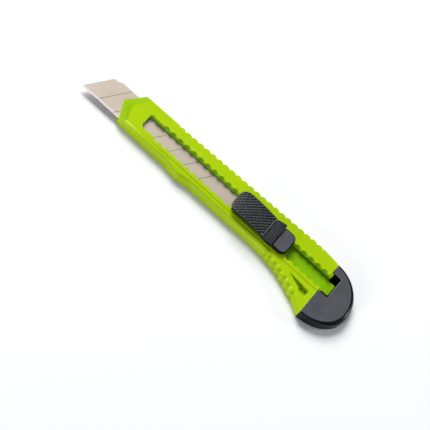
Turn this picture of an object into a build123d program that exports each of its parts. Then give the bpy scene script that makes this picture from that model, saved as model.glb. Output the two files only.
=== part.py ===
from build123d import *
import os
import math

# Snap-off knife with an 18 mm blade, lying flat on its back.
# X runs along the knife from the blade's tip to the end cap.  Y runs from the blade's
# cutting edge to the spine.  Z is up from the surface that the knife lies on.
# The shapes are drawn from the blade's tip and cutting edge, and then moved so that the
# origin is at the bottom centre of the whole knife's box.

# ---- blade: standard 18 mm snap-off strip ----
BLADE_LENGTH = 110.0
BLADE_WIDTH = 18.0
BLADE_THICKNESS = 0.5
BLADE_Z = 2.6                      # underside of the blade above the table
SCORE_PITCH = 10.0
SCORE_COUNT = 7
SCORE_ANGLE = 60.0                 # score lines against the cutting edge
SCORE_DEPTH = 0.14
SCORE_WIDTH = 0.36
BEVEL_WIDTH = 1.7                  # ground on both faces
HOLE_X = 98.5
HOLE_R = 2.6
SLANT = 1 / math.tan(math.radians(SCORE_ANGLE))
AXIS_Y = BLADE_WIDTH / 2           # the blade's centre line
BLADE_TOP = BLADE_Z + BLADE_THICKNESS

# ---- handle body ----
DECK_Z = 5.3                       # flat top face
RIM_H = 0.3                        # raised strips beside the slot
RIM_W = 2.8
NOSE_TIP = (19.9, 9.9)
NOSE_LOW = (24.3, -0.9)
NOSE_HIGH = (27.1, 20.5)
NOSE_LIP_Z = 4.05
NOSE_RIDGE = (25.0, 9.9)           # where the two nose facets and the deck meet
NOSE_UPPER = (29.4, 18.4)          # the facets' far corners on the deck
NOSE_LOWER = (28.2, -0.3)
REAR_X = 152.8                     # joint between the body and the end cap
EDGE_R = 0.5                       # rounding of the spine and of the bottom edges
SHOULDER_R = 1.8                   # softer shoulder along the cutting side
CHANNEL_FLOOR = 2.45
CHANNEL_ROOF = 3.4
CHANNEL_SIDE = 0.15                # play beside the blade
TONGUE_END = 158.1
TONGUE_Y = (5.6, 12.9)
COLLAR_END = 153.9
COLLAR_Y = (2.75, 16.25)

# ---- slot and its lock teeth ----
SLOT_X = 35.3
SLOT_Y = (4.1, 13.6)
SLOT_MID = (SLOT_Y[0] + SLOT_Y[1]) / 2
SLOT_R = 1.6
FLARE = 0.75                       # width of the slope round the slot's front, and its depth
FLARE_DEPTH = 1.2
WAVE_PITCH = 4.55
WAVE_COUNT = 24
WAVE_X = 44.0                      # start of the first hollow
WAVE_DEPTH = 1.1
WAVE_Z = 4.4                       # the hollows' back walls stop here, and their floors slope
WAVE_LIP_Z = 3.75                  # down to this height at the slot's edge

# ---- spine scallops and grip ribs ----
SPINE_X = 49.1                     # first valley on the spine
SPINE_Y = 20.85                    # crest of the scallops at their front end
SPINE_SLOPE = 0.035
SPINE_PITCH = 4.04
SPINE_LOBES = 23
SPINE_DEPTH = 1.1
SPINE_PEAK = (135.5, 23.9)
RIB_X = 121.5                      # first valley of the grip ribs
RIB_PITCH = 4.0
RIB_LOBES = 6
RIB_DEPTH = 0.85
HEEL_Y = -15.3
WAIST_X = 105.0
WAIST_Y = -1.65
BUMP_X = 62.8                      # finger bump on the cutting side
BUMP_Y = -2.7
BUMP_HALF = 9.5
FRONT_Y = -1.35                    # cutting-side edge in front of the bump
SCOOP_RAMP = 1.8                   # depths of the thumb scoop: end of its ramp, and its well
SCOOP_WELL = 2.7

# ---- end cap ----
CAP_END = 172.8
CAP_APEX_Y = 1.9
CAP_TOP_Y = 22.5
CAP_GAP = 0.1
CAP_EDGE_R = 0.6
CAP_CROWN_R = 2.4                  # large rounding that grows out of the joint line
CAP_SPREAD = 1.3                   # how far the crown's outline stands out at the joint
NOTCH_END = 158.5
NOTCH_Y = (2.5, 16.5)
SOCKET_Z = (0.8, 2.1)
SOCKET_Y = (-12.6, -1.9)
SOCKET_X = 140.0
PIN_Y = (19.2, 21.0)
PIN_Z = (1.4, 3.8)
PIN_X = 142.0
PLUG_GAP = 0.2

# ---- slider ----
PAD_X = (92.9, 115.2)              # crosshatched lock button
PAD_HALF = 7.3
PAD_UNDER = 7.4
PAD_CROWN = 9.2
PAD_R = 4.2
BLOCK_X = (115.5, 121.0)           # middle block behind the button
BLOCK_HALF = 7.6
BLOCK_UNDER = 6.4
PLATE_END = 128.8                  # rear plate
PLATE_HALF = 7.0
PLATE_UNDER = 6.05
PLATE_TOP = 7.8
PLATE_R = 3.2
NECK_HALF = 4.5
NECK_X = (94.5, 126.0)
NECK_TOP = 5.95
SHELF_TOP = 4.6                    # lower front part of the neck, under the spring
SHELF_X = 111.0
FOOT_END = 125.5
FOOT_TOP = 3.2
STUD_R = 2.45
HINGE_X = 113.5
HINGE_Z = 6.85
HINGE_R = 0.6
HINGE_PLAY = 0.06
EAR_Y = (3.9, 5.3)                 # from the slot's middle

ORIGIN = (CAP_END / 2, (HEEL_Y + SPINE_PEAK[1]) / 2, 0)


def block(x, y, z):
    """Box from its X, Y and Z ranges."""
    centre = Location(((x[0] + x[1]) / 2, (y[0] + y[1]) / 2, (z[0] + z[1]) / 2))
    return centre * Box(x[1] - x[0], y[1] - y[0], z[1] - z[0])


def prism(points, z0, z1):
    """Upright prism on a closed outline of points."""
    face = make_face(Polyline(*points, close=True))
    return Location((0, 0, z0)) * extrude(face, z1 - z0)


def side_prism(points, y0, y1):
    """Prism along Y on an outline of (x, z) points."""
    face = make_face(Polyline(*[(x, y0, z) for x, z in points], close=True))
    return extrude(face, y1 - y0, dir=(0, 1, 0))


def place(shape):
    """Moves a shape into the knife's own frame."""
    return Location((-ORIGIN[0], -ORIGIN[1], 0)) * shape


# ---------------------------------------------------------------- blade
def score_line(k):
    """V-shaped groove across the top face, at 60 degrees to the edge."""
    x = k * SCORE_PITCH
    half = SCORE_WIDTH / 2
    profile = Polyline(
        (x - half, 0, BLADE_TOP),
        (x, 0, BLADE_TOP - SCORE_DEPTH),
        (x + half, 0, BLADE_TOP),
        (x, 0, BLADE_TOP + SCORE_DEPTH),
        close=True,
    )
    run = (BLADE_WIDTH * SLANT, BLADE_WIDTH, 0)
    length = math.hypot(run[0], run[1])
    return extrude(make_face(profile), length, dir=run)


def blade():
    """One hardened steel strip with seven score lines, a ground edge and a tail hole."""
    tail = BLADE_LENGTH - BLADE_WIDTH * SLANT
    strip = prism(
        [
            (0, 0),
            (tail, 0),
            (BLADE_LENGTH, BLADE_WIDTH),
            (14.2, BLADE_WIDTH),
            (11.6, 16.6),
            (9.5, 16.45),
        ],
        BLADE_Z,
        BLADE_TOP,
    )
    middle = BLADE_Z + BLADE_THICKNESS / 2
    for face_z in (BLADE_Z, BLADE_TOP):
        wedge = make_face(
            Polyline((-5, 0, middle), (-5, BEVEL_WIDTH, face_z), (-5, 0, face_z), close=True)
        )
        strip -= extrude(wedge, BLADE_LENGTH + 10, dir=(1, 0, 0))
    for k in range(1, SCORE_COUNT + 1):
        strip -= score_line(k)
    strip -= Location((HOLE_X, AXIS_Y, 0)) * Cylinder(HOLE_R, 20)
    return strip


# ---------------------------------------------------------------- handle body
def heel_edge(x):
    """Y of the cutting-side edge behind the waist: a power curve sweeping out to the heel."""
    return WAIST_Y + (HEEL_Y - WAIST_Y) * ((x - WAIST_X) / (REAR_X - WAIST_X)) ** 2.4


def spine_edge(x):
    """Y of the spine: a straight taper, then a shallow arch down to the end cap."""
    peak_x, peak_y = SPINE_PEAK
    if x < 132.0:
        return SPINE_Y + (x - SPINE_X) * SPINE_SLOPE
    return peak_y - (peak_y - CAP_TOP_Y) * ((x - peak_x) / (REAR_X - peak_x)) ** 2


def outer_edges(solid, level):
    """Edges of the solid's top (-1) or bottom (0) face, without those at its far sides."""
    ring = solid.edges().group_by(Axis.Z)[level]
    return ring.filter_by(lambda e: e.center().X < REAR_X - 0.1 and -35 < e.center().Y < 35)


def spine_half():
    """Plate bounded by the spine and by the upper side of the nose, with rounded edges."""
    spine = [(x, spine_edge(x)) for x in (132.5, 138.0, 143.0, 148.0, REAR_X)]
    run = (NOSE_HIGH[0] - NOSE_TIP[0]) / (NOSE_HIGH[1] - NOSE_TIP[1])
    nose_far = (NOSE_TIP[0] - run * (NOSE_TIP[1] + 40), -40)
    face = make_face([
        Line(nose_far, NOSE_HIGH),
        Line(NOSE_HIGH, (SPINE_X, SPINE_Y)),
        Line((SPINE_X, SPINE_Y), spine[0]),
        Spline(*spine),
        Line(spine[-1], (REAR_X, -40)),
        Line((REAR_X, -40), nose_far),
    ])
    plate = extrude(face, DECK_Z)
    corner = plate.edges().filter_by(Axis.Z).sort_by(lambda e: abs(e.center().X - NOSE_HIGH[0]))[0]
    plate = fillet(corner, 0.6)
    plate = fillet(outer_edges(plate, -1), EDGE_R)
    return fillet(outer_edges(plate, 0), EDGE_R)


def cutting_half():
    """Plate bounded by the cutting side, with its finger bump and heel, and by the nose."""
    heel = [(x, heel_edge(x)) for x in (REAR_X, 144.0, 135.0, 126.0, 116.0)]
    heel.append((WAIST_X, WAIST_Y))
    bump = [(BUMP_X + BUMP_HALF, WAIST_Y), (BUMP_X, BUMP_Y), (BUMP_X - BUMP_HALF, FRONT_Y)]
    run = (NOSE_TIP[0] - NOSE_LOW[0]) / (NOSE_TIP[1] - NOSE_LOW[1])
    nose_far = (NOSE_TIP[0] + run * (40 - NOSE_TIP[1]), 40)
    face = make_face([
        Line((REAR_X, 40), heel[0]),
        Spline(*heel, tangents=[(-1.0, 0.685), (-1, 0)]),
        Line(heel[-1], bump[0]),
        Spline(*bump, tangents=[(-1, 0), (-1, 0)]),
        Line(bump[-1], NOSE_LOW),
        Line(NOSE_LOW, nose_far),
        Line(nose_far, (REAR_X, 40)),
    ])
    plate = extrude(face, DECK_Z)
    corner = plate.edges().filter_by(Axis.Z).sort_by(lambda e: abs(e.center().X - NOSE_LOW[0]))[0]
    plate = fillet(corner, 0.8)
    plate = fillet(outer_edges(plate, -1), SHOULDER_R)
    return fillet(outer_edges(plate, 0), EDGE_R)


def lobe(x, y, radius, shoulder):
    """Round post, as high as the body, with rounded ends."""
    post = Location((x, y, DECK_Z / 2)) * Cylinder(radius, DECK_Z)
    post = fillet(post.edges().filter_by(GeomType.CIRCLE).group_by(Axis.Z)[-1], shoulder)
    return fillet(post.edges().filter_by(GeomType.CIRCLE).group_by(Axis.Z)[0], EDGE_R)


def scalloped(plate, start, pitch, count, depth, edge, side, shoulder):
    """Sets the plate's edge back between two valleys and fills it with a row of lobes.

    Each lobe is a round post whose radius makes it stand the given depth above the point
    where it meets its neighbour; side is 1 for the spine and -1 for the cutting side.
    """
    end = start + pitch * count
    zone = block((start, end), (8, 40) if side > 0 else (-40, 2), (-1, DECK_Z + 1))
    inner = Location((0, -side * (depth - 0.1), 0)) * plate
    row = (plate - zone) + (inner & zone)
    radius = ((pitch / 2) ** 2 + depth**2) / (2 * depth)
    for k in range(count):
        mid = start + (k + 0.5) * pitch
        row += lobe(mid, edge(mid) - side * radius, radius, shoulder)
    return row


def rim_strips():
    """Raised strips on both sides of the slot, fading in behind the nose."""
    top = DECK_Z + RIM_H
    wedge = [(36.0, DECK_Z - 1), (REAR_X, DECK_Z - 1), (REAR_X, top), (49.0, top), (37.0, DECK_Z)]
    low = side_prism(wedge, SLOT_Y[0] - RIM_W, SLOT_Y[0] + 0.5)
    high = side_prism(wedge, SLOT_Y[1] - 0.5, SLOT_Y[1] + RIM_W)
    return low + high


def wave_row(side):
    """Row of lock hollows along one edge of the slot; side is -1 (cutting side) or 1."""
    edge = SLOT_Y[0] if side < 0 else SLOT_Y[1]
    half = WAVE_PITCH / 2
    rise = WAVE_DEPTH / 2
    mean = edge + side * rise
    lines = []
    for k in range(WAVE_COUNT):
        x = WAVE_X + k * WAVE_PITCH
        low = (x + half / 2, mean + side * rise)
        lines.append(ThreePointArc((x, mean), low, (x + half, mean)))
        if k < WAVE_COUNT - 1:
            tip = (x + half * 1.5, mean - side * rise)
            lines.append(ThreePointArc((x + half, mean), tip, (x + 2 * half, mean)))
    last = WAVE_X + WAVE_COUNT * WAVE_PITCH - half
    lines.append(Line((last, mean), (last, SLOT_MID)))
    lines.append(Line((last, SLOT_MID), (WAVE_X, SLOT_MID)))
    lines.append(Line((WAVE_X, SLOT_MID), (WAVE_X, mean)))
    row = Location((0, 0, WAVE_LIP_Z)) * extrude(make_face(lines), DECK_Z + 2 - WAVE_LIP_Z)
    back = edge + side * WAVE_DEPTH
    slope = Polyline(
        (0, SLOT_MID, WAVE_LIP_Z),
        (0, edge, WAVE_LIP_Z),
        (0, back, WAVE_Z),
        (0, back + side, WAVE_Z + 0.6),
        (0, back + side, DECK_Z + 2),
        (0, SLOT_MID, DECK_Z + 2),
        close=True,
    )
    return row & extrude(make_face(slope), 200, dir=(1, 0, 0))


def slot():
    """The long slot that the slider runs in: open at the rear, sloping sides in front."""
    plain = block((SLOT_X, 170.0), SLOT_Y, (CHANNEL_ROOF - 0.4, DECK_Z + 2))
    front = plain.edges().filter_by(Axis.Z).group_by(Axis.X)[0]
    plain = fillet(front, SLOT_R)
    length = WAVE_X - 2 * FLARE - SLOT_X
    width = SLOT_Y[1] - SLOT_Y[0] - FLARE
    foot = Location((SLOT_X + length / 2, SLOT_Y[1] - width / 2, DECK_Z - FLARE_DEPTH))
    slope = math.degrees(math.atan(FLARE / FLARE_DEPTH))
    return plain + extrude(foot * RectangleRounded(length, width, SLOT_R), FLARE_DEPTH + 0.01, taper=-slope)


def nose_facet(front, rear_a, rear_b):
    """Half-space above one sloping facet of the nose."""
    across = Vector(*rear_b) - Vector(*rear_a)
    along = Vector(*front) - Vector(*rear_a)
    up = across.cross(along)
    if up.Z < 0:
        up = -up
    plane = Plane(origin=rear_a, x_dir=across, z_dir=up)
    return plane * Location((0, 0, 10)) * Box(60, 60, 20)


def thumb_scoop():
    """Tapered pocket in the deck near the heel: a ramp that ends in a deeper well."""
    plan = prism([(136.2, -1.3), (149.7, -1.9), (149.7, -7.2), (145.2, -5.9), (145.2, -5.1)],
                 2, DECK_Z + 1)
    ramp = side_prism([(136.0, DECK_Z), (145.2, DECK_Z - SCOOP_RAMP), (145.2, DECK_Z - SCOOP_WELL),
                       (149.8, DECK_Z - SCOOP_WELL), (149.8, DECK_Z + 1), (136.0, DECK_Z + 1)], -8, 0)
    return plan & ramp


def underside_cores():
    """Shallow coring pockets under the body, with cross ribs left between them."""
    pockets = block((34.0, 47.0), (3.0, 15.0), (-1, 1.1))
    for k in range(1, 7):
        pockets += block((34.0 + k * 15.0, 47.0 + k * 15.0), (3.0, 15.0), (-1, 1.1))
    return pockets


def handle_body():
    """One lime ABS moulding: floor plate, side walls, slot lips, nose and heel."""
    body = spine_half() & cutting_half()
    body = scalloped(body, SPINE_X, SPINE_PITCH, SPINE_LOBES, SPINE_DEPTH, spine_edge, 1, EDGE_R)
    body = scalloped(body, RIB_X, RIB_PITCH, RIB_LOBES, RIB_DEPTH, heel_edge, -1, SHOULDER_R)
    body += rim_strips()
    body += block((REAR_X - 1, COLLAR_END), COLLAR_Y, (0, DECK_Z - 0.4))
    body += block((REAR_X - 1, TONGUE_END), TONGUE_Y, (0.8, CHANNEL_FLOOR + 0.3))
    channel_y = (-CHANNEL_SIDE, BLADE_WIDTH + CHANNEL_SIDE)
    body -= block((10, 170), channel_y, (CHANNEL_FLOOR, CHANNEL_ROOF))
    body -= slot()
    body -= wave_row(-1)
    body -= wave_row(1)
    ridge = (NOSE_RIDGE[0], NOSE_RIDGE[1], DECK_Z)
    lip = (NOSE_TIP[0], NOSE_TIP[1], NOSE_LIP_Z)
    upper = block((0, 32), (NOSE_RIDGE[1], 30), (2, 9))
    lower = block((0, 32), (-9, NOSE_RIDGE[1]), (2, 9))
    body -= nose_facet(lip, ridge, (NOSE_UPPER[0], NOSE_UPPER[1], DECK_Z)) & upper
    body -= nose_facet(lip, ridge, (NOSE_LOWER[0], NOSE_LOWER[1], DECK_Z)) & lower
    body -= thumb_scoop()
    body -= heel_socket(0.0)
    body -= block((PIN_X, 170), PIN_Y, PIN_Z)
    body -= underside_cores()
    return body


# ---------------------------------------------------------------- end cap
def heel_socket(gap):
    """Pocket in the heel that takes the cap's plug; the plug is smaller by the gap."""
    front = SOCKET_X + (1.5 if gap else 0.0)
    outline = [
        (170.0, SOCKET_Y[1] - gap),
        (front, SOCKET_Y[1] - gap),
        (front, -6.2 + gap),
        (REAR_X, SOCKET_Y[0] + gap),
        (170.0, SOCKET_Y[0] + gap),
    ]
    return prism(outline, SOCKET_Z[0] + gap, SOCKET_Z[1] - gap)


def cap_outline(length, spread):
    """Two quarter ellipses that meet at the rearmost point."""
    front = REAR_X + CAP_GAP
    upper = CAP_TOP_Y + spread - CAP_APEX_Y
    lower = CAP_APEX_Y - HEEL_Y + spread
    top = EllipticalCenterArc((front, CAP_APEX_Y), length, upper, start_angle=0, arc_size=90)
    bottom = EllipticalCenterArc((front, CAP_APEX_Y), length, lower, start_angle=270, arc_size=90)
    return make_face([top, bottom, Line(top @ 1, bottom @ 0)])


def cap_shell(length, spread, top_r):
    """Cap-shaped plate with a rounding of this radius round the top of its curved wall."""
    shell = extrude(cap_outline(length, spread), DECK_Z)
    for level, radius in ((-1, top_r), (0, CAP_EDGE_R)):
        ring = shell.edges().group_by(Axis.Z)[level]
        shell = fillet(ring.filter_by(lambda e: e.center().X > REAR_X + 1), radius)
    return shell


def end_cap():
    """Black polypropylene end cap with a notch for the slider and two plugs."""
    depth = CAP_END - REAR_X - CAP_GAP
    cap = cap_shell(depth, 0.0, CAP_EDGE_R) & cap_shell(depth - 0.1, CAP_SPREAD, CAP_CROWN_R)
    cap -= block((REAR_X - 1, NOTCH_END), NOTCH_Y, (0.6, DECK_Z + 1))
    cap -= block((REAR_X - 1, COLLAR_END + 0.2), NOTCH_Y, (-1, DECK_Z + 1))
    plug = heel_socket(PLUG_GAP) & block((0, REAR_X + 1), (-20, 20), (0, 9))
    cap += plug
    cap += block((PIN_X + 1.5, REAR_X + 1), (PIN_Y[0] + PLUG_GAP, PIN_Y[1] - PLUG_GAP),
                 (PIN_Z[0] + PLUG_GAP, PIN_Z[1] - PLUG_GAP))
    return cap


# ---------------------------------------------------------------- slider
def blade_carrier():
    """Sled that runs in the slot: a stud for the blade's hole and a foot behind its tail."""
    y = (SLOT_MID - NECK_HALF, SLOT_MID + NECK_HALF)
    neck = block((NECK_X[0], SHELF_X), y, (FOOT_TOP + 0.05, SHELF_TOP))
    neck += block((SHELF_X, NECK_X[1]), y, (FOOT_TOP - 0.1, NECK_TOP))
    tail = BLADE_LENGTH - BLADE_WIDTH * SLANT + 0.5
    foot = prism(
        [(tail, 0.3), (FOOT_END, 0.3), (FOOT_END, BLADE_WIDTH - 0.3),
         (BLADE_LENGTH + 0.5, BLADE_WIDTH - 0.3)],
        BLADE_Z, FOOT_TOP,
    )
    tail_gap = prism([(0, 0), (tail, 0), (BLADE_LENGTH + 0.5, BLADE_WIDTH), (0, BLADE_WIDTH)],
                     0, FOOT_TOP + 0.05)
    carrier = (neck + foot) - tail_gap
    stud = Location((HOLE_X, AXIS_Y, (BLADE_Z + 0.05 + FOOT_TOP + 0.6) / 2))
    carrier += stud * Cylinder(STUD_R, FOOT_TOP + 0.55 - BLADE_Z)
    return carrier


def slider_cover():
    """Middle block with its ridge, rear plate and the ears that hold the button's pivot."""
    x0, x1 = BLOCK_X
    ramp = [(x0, BLOCK_UNDER), (x1 - 0.4, BLOCK_UNDER), (x1, BLOCK_UNDER + 0.4), (x1 + 0.05, 7.6),
            (x1 - 0.35, 8.75), (x1 - 0.75, 8.9), (x1 - 1.4, 8.75), (x0 + 0.4, 7.6), (x0, 7.4)]
    cover = side_prism(ramp, SLOT_MID - BLOCK_HALF, SLOT_MID + BLOCK_HALF)
    plate = block((x1 + 0.4, PLATE_END), (SLOT_MID - PLATE_HALF, SLOT_MID + PLATE_HALF),
                  (PLATE_UNDER, PLATE_TOP))
    plate = fillet(plate.edges().filter_by(Axis.Z).group_by(Axis.X)[-1], PLATE_R)
    crown = plate.edges().group_by(Axis.Z)[-1].filter_by(lambda e: e.center().X > x1 + 0.6)
    plate = fillet(crown, 0.6)
    cover += plate
    cover += block((x0, x1 + 1.5), (SLOT_MID - PLATE_HALF + 0.3, SLOT_MID + PLATE_HALF - 0.3),
                   (PLATE_UNDER, 7.1))
    cover += block((HINGE_X + HINGE_R + 0.15, x0 + 0.5),
                   (SLOT_MID - PLATE_HALF, SLOT_MID + PLATE_HALF), (PLATE_UNDER, 7.1))
    for side in (-1, 1):
        y = sorted((SLOT_MID + side * EAR_Y[0], SLOT_MID + side * EAR_Y[1]))
        ear = block((HINGE_X - 1.2, x0 + 0.5), y, (PLATE_UNDER, 7.1))
        pivot = Location((HINGE_X, SLOT_MID, HINGE_Z), (90, 0, 0))
        ear -= pivot * Cylinder(HINGE_R + HINGE_PLAY, 30)
        ear -= block((HINGE_X - 0.45, HINGE_X + 0.45), y, (HINGE_Z, 9))
        cover += ear
    return cover


def thumb_button():
    """Crowned lock button with a stem that presses the spring, hinged at its rear edge."""
    x0, x1 = PAD_X
    y0 = SLOT_MID - PAD_HALF
    side = make_face([
        Line((x0, y0, PAD_UNDER), (x0, y0, 8.1)),
        Spline((x0, y0, 8.1), (x0 + 1.2, y0, 8.62), (97.5, y0, 9.02), (102.8, y0, PAD_CROWN),
               (109.5, y0, 8.72), (x1, y0, 8.0)),
        Line((x1, y0, 8.0), (x1, y0, PAD_UNDER)),
        Line((x1, y0, PAD_UNDER), (x0, y0, PAD_UNDER)),
    ])
    pad = extrude(side, 2 * PAD_HALF, dir=(0, 1, 0))
    pad = fillet(pad.edges().filter_by(Axis.Z).group_by(Axis.X)[0], PAD_R)
    stem = block((97.0, 109.0), (SLOT_MID - 3.4, SLOT_MID + 3.4), (6.2, PAD_UNDER + 0.3))
    bridge = block((107.0, HINGE_X), (SLOT_MID - 3.4, SLOT_MID + 3.4), (6.75, PAD_UNDER + 0.3))
    bridge += Location((HINGE_X, SLOT_MID, HINGE_Z), (90, 0, 0)) * Cylinder(HINGE_R, 10.2)
    bridge += block((HINGE_X - 0.3, HINGE_X + 0.3), (SLOT_MID - 5.1, SLOT_MID + 5.1),
                    (HINGE_Z, PAD_UNDER + 0.3))
    feet = block((96.4, 98.8), (SLOT_MID - 7.0, SLOT_MID - 5.6), (6.6, PAD_UNDER + 0.3))
    feet += block((96.4, 98.8), (SLOT_MID + 5.6, SLOT_MID + 7.0), (6.6, PAD_UNDER + 0.3))
    return pad + stem + bridge + feet


def lock_spring():
    """Bent steel leaf on the carrier; its crossbar sits in a pair of lock hollows."""
    half = 3.0
    leaf = side_prism(
        [(110.8, SHELF_TOP), (110.8, SHELF_TOP + 0.3), (106.0, SHELF_TOP + 0.3),
         (100.2, 5.35), (98.6, 5.35), (98.6, 5.05), (100.1, 5.05), (105.9, SHELF_TOP)],
        SLOT_MID - half, SLOT_MID + half,
    )
    tooth_x = WAVE_X + 12.25 * WAVE_PITCH
    reach = NECK_HALF + 1.15
    leaf += block((tooth_x - 0.6, tooth_x + 0.6), (SLOT_MID - reach, SLOT_MID + reach), (5.05, 5.35))
    return leaf


PARTS = {
    "handle_body": handle_body,
    "end_cap": end_cap,
    "blade": blade,
    "blade_carrier": blade_carrier,
    "slider_cover": slider_cover,
    "thumb_button": thumb_button,
    "lock_spring": lock_spring,
}

os.makedirs("parts", exist_ok=True)
for name, build in PARTS.items():
    export_step(place(build()), f"parts/{name}.step")
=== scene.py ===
import math

import bmesh
import bpy
import numpy as np
from mathutils import Matrix, Vector


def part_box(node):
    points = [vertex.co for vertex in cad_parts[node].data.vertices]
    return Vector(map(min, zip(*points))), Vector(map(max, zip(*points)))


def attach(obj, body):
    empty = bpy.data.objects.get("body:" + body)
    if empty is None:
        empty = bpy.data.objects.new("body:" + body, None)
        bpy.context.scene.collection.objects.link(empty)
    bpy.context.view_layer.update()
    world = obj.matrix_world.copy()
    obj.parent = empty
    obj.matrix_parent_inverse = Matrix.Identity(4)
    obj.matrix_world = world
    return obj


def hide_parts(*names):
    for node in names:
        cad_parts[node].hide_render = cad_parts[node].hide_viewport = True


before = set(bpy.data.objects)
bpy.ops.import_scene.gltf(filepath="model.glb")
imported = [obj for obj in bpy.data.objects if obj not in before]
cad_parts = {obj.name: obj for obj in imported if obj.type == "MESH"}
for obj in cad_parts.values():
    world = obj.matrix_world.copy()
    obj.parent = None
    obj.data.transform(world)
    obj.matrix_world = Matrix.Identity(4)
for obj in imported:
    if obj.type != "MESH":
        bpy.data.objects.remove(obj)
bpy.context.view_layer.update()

# ---------------------------------------------------------------- handle body
# One long lime ABS moulding with a low gloss and a slightly orange-peeled skin.  Its edges
# come out of the mould softly rounded, and handling has polished them and left fine scuffs.
# Painted highlight makes the eased top edges a lighter green; painted shade makes the nose
# facets a darker green and the slot's inside a deeper one.
MM = 0.001
WELD = 0.002                        # points of the CAD mesh closer than this are one
LIME = (0.408, 0.600, 0.002, 1)
LIME_DEEP = (0.368, 0.562, 0.001, 1)
# painted highlight: a lighter green for the eased top edges
LIME_EDGE_HIGHLIGHT = (0.455, 0.665, 0.006, 1)
# painted shade: a deeper green inside the slot, below its edges
LIME_SLOT_SHADE = (0.235, 0.500, 0.001, 1)
# painted shade: a darker green for the nose's two sloping facets
LIME_NOSE_SHADE = (0.275, 0.475, 0.001, 1)
SLOT_FRONT = -52.0
SLOT_MIDDLE = 4.55                  # Y of the slot's middle line
SLOT_HALF = 6.0                     # half the width in which the green deepens
SLOT_SPAN = 10.0                    # distance from the middle line that the ramp covers
SLOT_FADE = 0.2
SLOT_EDGE_Z = 5.2                   # the green is deeper below this, edges are eased above it
DEPTH_FADE = 0.5                    # depth at which the deeper green is full
NOSE_END = -57.0                    # the two sloping facets of the nose lie in front of this X
NOSE_FACET_Z = (0.85, 0.99)         # and their upward normals lie between these


def eased_copy(node, name, width, turn=28.0, above=0.0):
    """Copy of a CAD node with its sharp outer edges rounded off.

    The loose triangles are welded, and neighbours that lie within half a degree of each
    other become one face.  Every outward edge that turns more than `turn` degrees and lies
    higher than `above` millimetres is replaced by a strip of the given width, in two steps,
    which takes the piece's second material.
    """
    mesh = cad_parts[node].data.copy()
    mesh.name = name
    mesh.materials.clear()
    joined = bmesh.new()
    joined.from_mesh(mesh)
    bmesh.ops.remove_doubles(joined, verts=joined.verts, dist=WELD * MM)
    bmesh.ops.dissolve_limit(
        joined, angle_limit=math.radians(0.5), verts=joined.verts, edges=joined.edges
    )
    weight = joined.edges.layers.float.new("bevel_weight_edge")
    for e in joined.edges:
        high = min(v.co.z for v in e.verts) > above * MM
        if high and len(e.link_faces) == 2 and e.is_convex:
            e[weight] = float(e.calc_face_angle() > math.radians(turn))
    joined.to_mesh(mesh)
    joined.free()
    mesh.shade_smooth()
    mesh.set_sharp_from_angle(angle=math.radians(turn))
    piece = bpy.data.objects.new(name, mesh)
    bpy.context.collection.objects.link(piece)
    edge = piece.modifiers.new("eased_edges", "BEVEL")
    edge.width = width * MM
    edge.segments = 2
    edge.limit_method = "WEIGHT"
    edge.use_clamp_overlap = False
    edge.material = 1
    flats = piece.modifiers.new("flat_faces", "WEIGHTED_NORMAL")
    flats.keep_sharp = True
    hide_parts(node)
    return piece


def new_material(name):
    """Empty node material and its shader."""
    m = bpy.data.materials.new(name)
    m.use_nodes = True
    return m, m.node_tree.nodes["Principled BSDF"]


def noise_on(m, scale, detail, stretch=(1, 1, 1)):
    """Noise texture on the piece's own coordinates, in waves per metre, stretched on the axes."""
    tree = m.node_tree
    place = tree.nodes.new("ShaderNodeTexCoord")
    mapping = tree.nodes.new("ShaderNodeMapping")
    mapping.inputs["Scale"].default_value = stretch
    noise = tree.nodes.new("ShaderNodeTexNoise")
    noise.inputs["Scale"].default_value = scale
    noise.inputs["Detail"].default_value = detail
    tree.links.new(place.outputs["Object"], mapping.inputs["Vector"])
    tree.links.new(mapping.outputs["Vector"], noise.inputs["Vector"])
    return noise.outputs["Fac"]


def ramp_on(m, factor, stops):
    """Colour ramp over a factor, from (position, colour) stops; a number stands for a grey."""
    ramp = m.node_tree.nodes.new("ShaderNodeValToRGB")
    points = ramp.color_ramp.elements
    while len(points) < len(stops):
        points.new(0.5)
    for point, (position, colour) in zip(points, stops):
        point.position = position
        point.color = colour if isinstance(colour, tuple) else (colour, colour, colour, 1)
    m.node_tree.links.new(factor, ramp.inputs["Fac"])
    return ramp.outputs["Color"]


def grain_on(m, shader, coarse, fine, coarse_height, fine_height):
    """Bump from a coarse and a fine noise, heights in millimetres."""
    tree = m.node_tree
    last = None
    for scale, height in ((coarse, coarse_height), (fine, fine_height)):
        bump = tree.nodes.new("ShaderNodeBump")
        bump.inputs["Strength"].default_value = 1.0
        bump.inputs["Distance"].default_value = height * MM
        tree.links.new(noise_on(m, scale, 2.0), bump.inputs["Height"])
        if last:
            tree.links.new(last, bump.inputs["Normal"])
        last = bump.outputs["Normal"]
    tree.links.new(last, shader.inputs["Normal"])


def maths(m, operation, a, b=None):
    """Output of one maths node; each operand is a socket or a number."""
    node = m.node_tree.nodes.new("ShaderNodeMath")
    node.operation = operation
    for socket, value in zip(node.inputs, (a, b)):
        if isinstance(value, (int, float)):
            socket.default_value = value
        elif value is not None:
            m.node_tree.links.new(value, socket)
    return node.outputs[0]


def blend_on(m, factor, a, b):
    """Colour that goes from a to b with the factor; a and b are sockets or colours."""
    mix = m.node_tree.nodes.new("ShaderNodeMix")
    mix.data_type = "RGBA"
    m.node_tree.links.new(factor, mix.inputs[0])
    for socket, value in ((mix.inputs[6], a), (mix.inputs[7], b)):
        if isinstance(value, tuple):
            socket.default_value = value
        else:
            m.node_tree.links.new(value, socket)
    return mix.outputs[2]


def axis_on(m, axis):
    """One of the piece's own coordinates, in metres; axis is 0, 1 or 2."""
    tree = m.node_tree
    place = tree.nodes.new("ShaderNodeTexCoord")
    axes = tree.nodes.new("ShaderNodeSeparateXYZ")
    tree.links.new(place.outputs["Object"], axes.inputs[0])
    return axes.outputs[axis]


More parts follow.
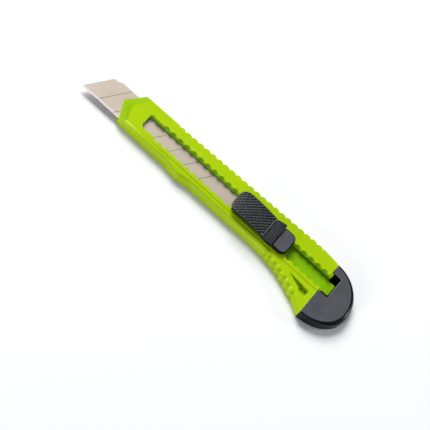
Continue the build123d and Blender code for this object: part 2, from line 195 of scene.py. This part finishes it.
def lime_abs(name, low, high, roughness, specular=0.2):
    """Low-gloss ABS: slow drift between two greens, painted shade inside the slot, long scuffs.

    Inside the slot the colour deepens from the slot's edges down, within its width: painted
    shade for the shade and the green light that the slot's walls and floor pass to each other.
    """
    m, shader = new_material(name)
    tree = m.node_tree
    drift = ramp_on(m, noise_on(m, scale=45.0, detail=3.0), [(0.3, low), (0.7, high)])
    # mask of the painted shade inside the slot: within its width, below its edges, behind its
    # front
    off_middle = maths(m, "ABSOLUTE", maths(m, "SUBTRACT", axis_on(m, 1), SLOT_MIDDLE * MM))
    sides = [(SLOT_HALF / SLOT_SPAN, 1.0), ((SLOT_HALF + SLOT_FADE) / SLOT_SPAN, 0.0)]
    beside = ramp_on(m, maths(m, "DIVIDE", off_middle, SLOT_SPAN * MM), sides)
    depth = maths(m, "SUBTRACT", SLOT_EDGE_Z * MM, axis_on(m, 2))
    below = ramp_on(m, maths(m, "DIVIDE", depth, MM), [(0.0, 0.0), (DEPTH_FADE, 1.0)])
    behind_front = maths(m, "GREATER_THAN", axis_on(m, 0), SLOT_FRONT * MM)
    inside = maths(m, "MULTIPLY", maths(m, "MULTIPLY", beside, below), behind_front)
    tree.links.new(blend_on(m, inside, drift, LIME_SLOT_SHADE), shader.inputs["Base Color"])
    scuffs = noise_on(m, scale=160.0, detail=4.0, stretch=(0.12, 1.0, 1.0))
    dull = [(0.35, roughness - 0.06), (0.62, roughness), (0.72, roughness + 0.14)]
    polish = ramp_on(m, scuffs, dull)
    tree.links.new(polish, shader.inputs["Roughness"])
    shader.inputs["Specular IOR Level"].default_value = specular
    grain_on(m, shader, coarse=700.0, fine=4200.0, coarse_height=0.012, fine_height=0.003)
    return m


handle = eased_copy("handle_body", "handle_moulding", width=0.16, above=SLOT_EDGE_Z)
for lime in (
    lime_abs("lime_abs", LIME_DEEP, LIME, roughness=0.23),
    lime_abs("lime_abs_edge_highlight", LIME, LIME_EDGE_HIGHLIGHT, roughness=0.18),
    lime_abs("lime_abs_nose_shade", LIME_NOSE_SHADE, LIME_NOSE_SHADE, roughness=0.45, specular=0.03),
):
    handle.data.materials.append(lime)
# the nose's sloping facets take the third material, a darker green of painted shade
for face in handle.data.polygons:
    if face.center.x < NOSE_END * MM and NOSE_FACET_Z[0] < face.normal.z < NOSE_FACET_Z[1]:
        face.material_index = 2
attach(handle, "handle")

# ---------------------------------------------------------------- blade
# One strip of ground carbon steel, snapped to a fresh corner.  The rolled faces are a
# warm grey, the seven score lines are painted dark as the shade in their grooves, and the
# ground edge is bright, partly from the ground steel and partly from painted glare.
STEEL = (0.50, 0.425, 0.345, 1)
STEEL_WARM = (0.55, 0.465, 0.38, 1)
# bright band at the cutting edge: partly the ground steel, partly painted glare
GROUND_AND_GLARE = (0.66, 0.63, 0.61, 1)
# painted shade: the dark of the score grooves
SCORE_SHADE = (0.20, 0.17, 0.145, 1)
SCORE_PITCH = 10.0
SCORE_COUNT = 7
SCORE_HALF = 0.14                   # half the width of a dark line
SCORE_CORE = 0.3                    # share of it that is fully dark
SCORE_LEAN = 1 / math.tan(math.radians(60.0))
GROUND_WIDTH = 1.7
GROUND_FULL = 0.75                  # share of that width that is fully bright


def blade_finish():
    """Rolled steel with score lines and a ground edge, all placed by the blade's own box.

    Along the strip, u counts score pitches from the tip, leaning with the score angle; the
    distance to the nearest whole u draws the dark lines, painted shade of the grooves.  Near the
    cutting edge the colour turns to bright ground steel, partly painted glare.
    """
    m, shader = new_material("blade_steel")
    tree = m.node_tree
    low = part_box("blade")[0]
    from_tip = maths(m, "SUBTRACT", axis_on(m, 0), low.x)
    from_edge = maths(m, "SUBTRACT", axis_on(m, 1), low.y)
    lean = maths(m, "MULTIPLY", from_edge, SCORE_LEAN)
    u = maths(m, "DIVIDE", maths(m, "SUBTRACT", from_tip, lean), SCORE_PITCH * MM)
    past_middle = maths(m, "FRACT", maths(m, "ADD", u, 0.5))
    off = maths(m, "ABSOLUTE", maths(m, "SUBTRACT", past_middle, 0.5))
    half = SCORE_HALF / SCORE_PITCH
    line = ramp_on(m, off, [(half * SCORE_CORE, 1.0), (half, 0.0)])
    line = maths(m, "MULTIPLY", line, maths(m, "GREATER_THAN", u, 0.5))
    line = maths(m, "MULTIPLY", line, maths(m, "LESS_THAN", u, SCORE_COUNT + 0.5))
    clouds = noise_on(m, scale=90.0, detail=5.0, stretch=(0.5, 1.0, 1.0))
    cloud = ramp_on(m, clouds, [(0.35, STEEL), (0.65, STEEL_WARM)])
    edge_band = maths(m, "DIVIDE", from_edge, GROUND_WIDTH * MM)
    ground_and_glare = ramp_on(m, edge_band, [(GROUND_FULL, 1.0), (1.0, 0.0)])
    colour = blend_on(m, ground_and_glare, cloud, GROUND_AND_GLARE)
    tree.links.new(blend_on(m, line, colour, SCORE_SHADE), shader.inputs["Base Color"])
    rolled = noise_on(m, scale=900.0, detail=3.0, stretch=(0.06, 1.0, 1.0))
    tree.links.new(ramp_on(m, rolled, [(0.3, 0.48), (0.7, 0.60)]), shader.inputs["Roughness"])
    bump = tree.nodes.new("ShaderNodeBump")
    bump.inputs["Strength"].default_value = 0.5
    bump.inputs["Distance"].default_value = 0.004 * MM
    tree.links.new(rolled, bump.inputs["Height"])
    tree.links.new(bump.outputs["Normal"], shader.inputs["Normal"])
    shader.inputs["Metallic"].default_value = 0.45
    return m


def finish_node(node, material):
    """Gives a CAD node its final material."""
    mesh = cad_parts[node].data
    mesh.materials.clear()
    mesh.materials.append(material)


finish_node("blade", blade_finish())

# ---------------------------------------------------------------- blade carrier
# A black polypropylene sled inside the slot; its stud holds the blade by the hole in its
# tail.  Sliding along the body has burnished it a little.
BLACK = (0.0045, 0.005, 0.007, 1)
BLACK_WORN = (0.009, 0.010, 0.013, 1)


def black_plastic(name, low, high, roughness, grain, specular=0.5, highlight_by=None):
    """Polypropylene with a spark-eroded grain of this height, in millimetres.

    Its tone goes from low to high, on a slow noise or, given an attribute's name, where
    that attribute of the mesh comes near 1, which paints a highlight there.
    """
    m, shader = new_material(name)
    tree = m.node_tree
    if highlight_by:
        tip_highlight = tree.nodes.new("ShaderNodeAttribute")
        tip_highlight.attribute_name = highlight_by
        tone = ramp_on(m, tip_highlight.outputs["Fac"], [(0.72, low), (1.0, high)])
    else:
        tone = ramp_on(m, noise_on(m, scale=110.0, detail=4.0), [(0.35, low), (0.68, high)])
    tree.links.new(tone, shader.inputs["Base Color"])
    patches = noise_on(m, scale=320.0, detail=3.0)
    sheen = ramp_on(m, patches, [(0.3, roughness - 0.05), (0.7, roughness + 0.06)])
    tree.links.new(sheen, shader.inputs["Roughness"])
    shader.inputs["IOR"].default_value = 1.49
    shader.inputs["Specular IOR Level"].default_value = specular
    grain_on(m, shader, coarse=1800.0, fine=5200.0, coarse_height=grain, fine_height=grain * 0.5)
    return m


carrier_black = black_plastic("carrier_black", BLACK, BLACK_WORN, roughness=0.42, grain=0.004)
finish_node("blade_carrier", carrier_black)

# ---------------------------------------------------------------- lock spring
# A bent leaf of bright spring steel under the button.  Its crossbar clicks into the
# hollows beside the slot and holds the blade.
SPRING_DULL = (0.50, 0.51, 0.53, 1)
SPRING_BRIGHT = (0.62, 0.63, 0.66, 1)


def spring_finish():
    """Bright strip steel with fine streaks along the leaf, in tone and in roughness."""
    m, shader = new_material("spring_steel")
    tree = m.node_tree
    streaks = noise_on(m, scale=1400.0, detail=2.0, stretch=(0.05, 1.0, 1.0))
    tree.links.new(ramp_on(m, streaks, [(0.3, 0.2), (0.7, 0.36)]), shader.inputs["Roughness"])
    tint = ramp_on(m, streaks, [(0.3, SPRING_DULL), (0.7, SPRING_BRIGHT)])
    tree.links.new(tint, shader.inputs["Base Color"])
    shader.inputs["Metallic"].default_value = 1.0
    return m


finish_node("lock_spring", spring_finish())

# ---------------------------------------------------------------- slider cover
# The black block behind the button with its ridge, and the flat plate behind that; one
# polypropylene moulding, snapped on to the carrier.
# painted light: the flat tops are a lighter slate than the sides, crowns and block, which stay
# near black
SLATE_LIT = (0.058, 0.061, 0.070, 1)
SLATE_LIT_PALE = (0.074, 0.077, 0.087, 1)
BLOCK_BLACK = (0.010, 0.011, 0.014, 1)
# painted highlight: a lighter black for the eased edges
EDGE_HIGHLIGHT_BLACK = (0.022, 0.023, 0.027, 1)
PLATE_Z = 7.7                       # the rear plate and the block's top lie above this
LEVEL = 0.9995                      # upward normal from which a face counts as flat


def paint_lit_top(piece, z, material):
    """Gives the flat faces above z millimetres their own finely grained material, a lighter
    slate: painted light.
    """
    piece.data.materials.append(material)
    last = len(piece.data.materials) - 1
    for face in piece.data.polygons:
        if face.center.z > z * MM and face.normal.z > LEVEL:
            face.material_index = last


cover_black = black_plastic(
    "cover_black", BLACK, BLOCK_BLACK, roughness=0.55, grain=0.006, specular=0.12
)
painted_lit_slate_top = black_plastic("painted_lit_slate_top", SLATE_LIT, SLATE_LIT_PALE, roughness=0.40, grain=0.005)
# painted highlight: the eased edges of the cover and the cap take this lighter black
black_edge = black_plastic("black_edge_highlight", BLACK_WORN, EDGE_HIGHLIGHT_BLACK, roughness=0.32, grain=0.002)
cover = eased_copy("slider_cover", "slider_block", width=0.16)
cover.data.materials.append(cover_black)
cover.data.materials.append(black_edge)
# painted light: the plate's and the block's flat tops take the lighter slate
paint_lit_top(cover, PLATE_Z, painted_lit_slate_top)
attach(cover, "slider")

# ---------------------------------------------------------------- thumb button
# A crowned black pad whose whole top is cut into small blunt pyramids by two sets of
# diagonal grooves.  Its stem, side feet and hinge pin are moulded on below.
# painted highlight: the lighter grey of the pyramids' blunt tips
TIP_HIGHLIGHT_GREY = (0.085, 0.088, 0.095, 1)
PAD_UNDER = 7.4                     # height of its flat underside
PAD_CREST = 9.5                     # mm from the pad's front edge to the top of its crown
PAD_FRONT_DROP = 1.1
PAD_REAR_DROP = 1.2
PAD_CORNER = 4.2
PAD_RIM = 0.35                      # rounding of the rim
PAD_BORDER = 0.45                   # plain border outside the pyramids
GROOVE_RUN = 0.3                    # length over which the grooves deepen behind the border
PYRAMID_X = 2.0                     # diagonals of one pyramid
PYRAMID_Y = 2.1
PYRAMID_HEIGHT = 0.42
SAW_GAIN = 1.5                      # stretches the saws, so that tips and grooves are flat
SAW_FLOOR = 0.12
PAD_STEP = 0.115
END_GATHER = 0.035                  # draws the stations together at the pad's two ends
SIDE_GATHER = 1.25                  # and the columns at its two sides
STEM_X = (4.1, 16.1)                # these four run from the pad's front edge
FOOT_X = (3.5, 5.9)
BRIDGE_X = (20.3, 20.9)
PIN_X = 20.6
FOOT_UNDER = 6.6                    # heights above the table
BRIDGE_UNDER = (6.75, 6.95)
PIN_Z = 6.85
STEM_TOP = 7.6
STEM_HALF = 3.4                     # half widths, from the pad's middle line
FOOT_HALF = (5.6, 7.0)
PIN_HALF = 5.1
PIN_RADIUS = 0.6
PIN_SIDES = 24
pad_low, pad_high = (Vector(corner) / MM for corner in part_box("thumb_button"))
pad_half = (pad_high.y - pad_low.y) / 2
pad_middle = (pad_high.y + pad_low.y) / 2
pad_length = pad_high.x - pad_low.x


def mesh_piece(name, points, faces, material):
    """New object from an array of points in millimetres and a list of faces."""
    mesh = bpy.data.meshes.new(name)
    mesh.from_pydata((points * MM).tolist(), [], faces)
    mesh.materials.append(material)
    mesh.shade_smooth()
    piece = bpy.data.objects.new(name, mesh)
    bpy.context.collection.objects.link(piece)
    return piece


def pad_half_width(x):
    """Half width x mm behind the front edge: full, drawn in on a quarter circle in front."""
    ahead = np.clip(PAD_CORNER - x, 0, PAD_CORNER)
    return pad_half - PAD_CORNER + np.sqrt(PAD_CORNER**2 - ahead**2)


def pad_depth_inside(x, y):
    """Distance from a point of the plan to the pad's outline, in millimetres."""
    side = np.abs(y)
    plain = np.minimum(np.minimum(x, pad_length - x), pad_half - side)
    corner = PAD_CORNER - np.hypot(PAD_CORNER - x, side - (pad_half - PAD_CORNER))
    in_corner = (x < PAD_CORNER) & (side > pad_half - PAD_CORNER)
    return np.where(in_corner, corner, plain)


def pad_crown(x):
    """Height of the crown: a cubic fall to the front edge and a gentler one to the rear."""
    front = np.clip((PAD_CREST - x) / PAD_CREST, 0, 1)
    rear = np.clip((x - PAD_CREST) / (pad_length - PAD_CREST), 0, 1)
    return pad_high.z - PAD_FRONT_DROP * front**3 - PAD_REAR_DROP * rear**1.5


def pyramids(x, y):
    """Blunt pyramids, 0 in the grooves to 1 on the tips: the lower of two diagonal saws."""
    p = (x / PYRAMID_X + y / PYRAMID_Y) % 1.0
    q = (x / PYRAMID_X - y / PYRAMID_Y) % 1.0
    saw = np.minimum(1 - np.abs(2 * p - 1), 1 - np.abs(2 * q - 1))
    return np.clip(SAW_GAIN * saw - SAW_FLOOR, 0, 1)


def pad_top(x, y):
    """Height of the pad's top: crown, less the rounded rim, less the grooves."""
    inside = pad_depth_inside(x, y)
    short = np.clip((PAD_RIM - inside) / PAD_RIM, 0, 1)
    rim = PAD_RIM * (1 - np.sqrt(1 - short**2))
    cut = np.clip((inside - PAD_BORDER) / GROOVE_RUN, 0, 1)
    return pad_crown(x) - rim - PYRAMID_HEIGHT * cut * (1 - pyramids(x, y))


def thumb_pad(material):
    """Closed shell: one ring round the pad's section at each station along its length."""
    rows = int(pad_length / PAD_STEP)
    t = np.linspace(0, 1, rows)
    x = pad_length * (t - END_GATHER * np.sin(2 * math.pi * t))
    columns = int(2 * pad_half / PAD_STEP)
    s = np.sin(np.linspace(-1, 1, columns) * SIDE_GATHER) / math.sin(SIDE_GATHER)
    across = pad_half_width(x)[:, None] * s[None, :]
    along = np.repeat(x[:, None], columns, axis=1)
    top = np.stack([along, across, pad_top(along, across)], axis=2)
    under = top[:, ::-1].copy()
    under[:, :, 2] = PAD_UNDER
    ring = np.concatenate([top, under], axis=1)
    ring[:, :, 0] += pad_low.x
    ring[:, :, 1] += pad_middle
    size = ring.shape[1]
    index = np.arange(rows * size).reshape(rows, size)
    after = np.roll(index, -1, axis=1)
    quads = np.stack([index[:-1], index[1:], after[1:], after[:-1]], axis=2).reshape(-1, 4)
    faces = quads.tolist() + [index[0].tolist(), index[-1][::-1].tolist()]
    piece = mesh_piece("thumb_pad", ring.reshape(-1, 3), faces, material)
    tips = np.zeros((rows, size))
    tips[:, :columns] = pyramids(along, across) * (pad_depth_inside(along, across) > PAD_BORDER)
    piece.data.attributes.new("tips", "FLOAT", "POINT").data.foreach_set("value", tips.ravel())
    return piece


def cross_bar(outline, y0, y1, count):
    """Points and faces of an outline in x and z, carried from y0 to y1; count points so far."""
    flat = np.array(outline, float)
    n = len(flat)
    ends = [np.insert(flat, 1, y, axis=1) for y in (y0, y1)]
    k = np.arange(n)
    after = (k + 1) % n
    walls = np.stack([k, after, after + n, k + n], axis=1)
    caps = [k[::-1], k + n]
    faces = [(face + count).tolist() for face in list(walls) + caps]
    return np.concatenate(ends), faces


def thumb_stem(material):
    """Stem and bridge, two side feet and the round hinge pin, all below the pad."""
    x = pad_low.x
    stem_front, stem_rear = (x + step for step in STEM_X)
    foot_front, foot_rear = (x + step for step in FOOT_X)
    bridge_bend, bridge_end = (x + step for step in BRIDGE_X)
    web = [
        (stem_front, pad_low.z),
        (stem_rear, pad_low.z),
        (stem_rear, BRIDGE_UNDER[0]),
        (bridge_bend, BRIDGE_UNDER[0]),
        (bridge_end, BRIDGE_UNDER[1]),
        (bridge_end, STEM_TOP),
        (stem_front, STEM_TOP),
    ]
    foot = [
        (foot_front, FOOT_UNDER),
        (foot_rear, FOOT_UNDER),
        (foot_rear, STEM_TOP),
        (foot_front, STEM_TOP),
    ]
    around = np.linspace(0, 2 * math.pi, PIN_SIDES, endpoint=False)
    pin_x = x + PIN_X + PIN_RADIUS * np.cos(around)
    pin = np.stack([pin_x, PIN_Z + PIN_RADIUS * np.sin(around)], axis=1)
    near, far = FOOT_HALF
    points = []
    faces = []
    bars = (
        (web, -STEM_HALF, STEM_HALF),
        (foot, -far, -near),
        (foot, near, far),
        (pin, -PIN_HALF, PIN_HALF),
    )
    for outline, y0, y1 in bars:
        some, more = cross_bar(outline, pad_middle + y0, pad_middle + y1, sum(map(len, points)))
        points.append(some)
        faces += more
    return mesh_piece("thumb_stem", np.concatenate(points), faces, material)


button_black = black_plastic("button_black", BLACK, BLACK_WORN, roughness=0.36, grain=0.004)
# painted highlight on the pad's pyramid tips, placed by their attribute
pad_black = black_plastic(
    "pad_black", BLACK, TIP_HIGHLIGHT_GREY, roughness=0.30, grain=0.002, highlight_by="tips"
)
pad = thumb_pad(pad_black)
stem = thumb_stem(button_black)
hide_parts("thumb_button")
for piece in (pad, stem):
    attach(piece, "button")

# ---------------------------------------------------------------- end cap
# Black polypropylene cap, held by its two plugs in the heel's sockets.  Its notch is what
# snaps old segments off the blade; the flat top is finely grained, the curved edge glossy.
# Painted light makes the flat top a lighter slate, and painted shade keeps the crown and
# sides near black.
CAP_TOP_Z = 5.2                     # its flat top lies above this
crown_black = black_plastic(
    "crown_black", BLACK, BLACK, roughness=0.22, grain=0.002, specular=0.28
)
cap = eased_copy("end_cap", "end_cap_moulding", width=0.2)
cap.data.materials.append(crown_black)
cap.data.materials.append(black_edge)
paint_lit_top(cap, CAP_TOP_Z, painted_lit_slate_top)
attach(cap, "cap")

# ---------------------------------------------------------------- table, light and camera
# A plain white table.  The large key lamp stands beyond the blade's tip, behind the spine;
# a low fill faces the cutting edge, and a rim and a spark lamp are small.  A long lens looks
# down from the cutting-edge side, rolled so that the knife lies across the frame.
TABLE_Z = -0.05                     # just under the knife, so that the two never share a face
AZIMUTH = math.radians(-1.293)
ELEVATION = math.radians(52.624)
ROLL = math.radians(43.125)
DISTANCE = 1.9532
TARGET = Vector((4.354, -8.724, 3.1)) * MM
LENS = 334.88

bpy.ops.mesh.primitive_plane_add(size=4.0, location=(0, 0, TABLE_Z * MM))
table = bpy.context.object
table.name = "table"
paper, shader = new_material("white_table")
shader.inputs["Base Color"].default_value = (0.94, 0.94, 0.94, 1)
shader.inputs["Roughness"].default_value = 0.9
table.data.materials.append(paper)

world = bpy.data.worlds.new("studio")
bpy.context.scene.world = world
world.use_nodes = True
world.node_tree.nodes["Background"].inputs["Color"].default_value = (0.92, 0.95, 1.10, 1)
world.node_tree.nodes["Background"].inputs["Strength"].default_value = 0.18


def softbox(name, place, size, power):
    """Square lamp at a place in metres, aimed at the knife."""
    lamp = bpy.data.lights.new(name, "AREA")
    lamp.size = size
    lamp.energy = power
    holder = bpy.data.objects.new(name, lamp)
    aim = -Vector(place)
    turn = aim.to_track_quat("-Z", "Y").to_matrix().to_4x4()
    holder.matrix_world = Matrix.Translation(place) @ turn
    bpy.context.collection.objects.link(holder)


softbox("key", place=(-1.1, 0.98, 1.24), size=1.1, power=49.0)
softbox("fill", place=(-0.2, -1.4, 0.35), size=0.4, power=8.0)
softbox("spark", place=(0.1, -1.1, 0.85), size=0.05, power=0.28)
softbox("rim", place=(0.85, 0.75, 0.45), size=0.2, power=2.6)

back = Vector((
    math.sin(AZIMUTH) * math.cos(ELEVATION),
    -math.cos(AZIMUTH) * math.cos(ELEVATION),
    math.sin(ELEVATION),
))
level = Vector((math.cos(AZIMUTH), math.sin(AZIMUTH), 0.0))
tall = back.cross(level)
right = level * math.cos(ROLL) + tall * math.sin(ROLL)
up = tall * math.cos(ROLL) - level * math.sin(ROLL)
lens = bpy.data.cameras.new("camera")
lens.lens = LENS
lens.sensor_width = 36.0
lens.clip_start = 0.05
camera = bpy.data.objects.new("camera", lens)
aim = Matrix((right, up, back)).transposed()
camera.matrix_world = Matrix.Translation(TARGET + back * DISTANCE) @ aim.to_4x4()
bpy.context.collection.objects.link(camera)
bpy.context.scene.camera = camera
bpy.context.scene.view_settings.view_transform = "Standard"
